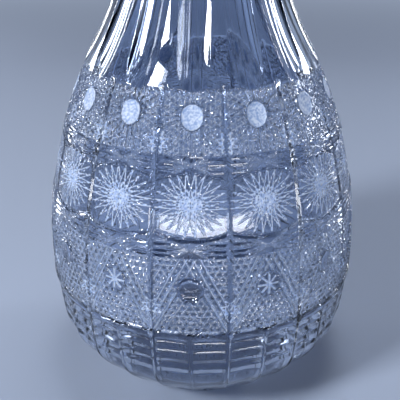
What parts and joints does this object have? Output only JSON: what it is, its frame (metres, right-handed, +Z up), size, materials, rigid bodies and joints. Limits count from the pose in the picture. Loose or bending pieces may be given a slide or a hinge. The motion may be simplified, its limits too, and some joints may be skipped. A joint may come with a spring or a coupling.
{
  "type": "cut crystal vase",
  "caption": "Tall vase of clear cut crystal: thick round base, barrel body with panels of star and lace cutting, fluted narrow neck and scalloped flared rim.",
  "frame": {"origin": "middle of the flat base that the vase stands on", "axes": "+Z up along the vase's axis; -Y faces the middle of a pattern panel that has a lens in it"},
  "size_m": [0.15, 0.15, 0.3],
  "materials": {
    "lead_crystal": "polished, with matt cuts"
  },
  "bodies": {
    "root": {"vase_body": "lead_crystal"}
  },
  "joints": []
}
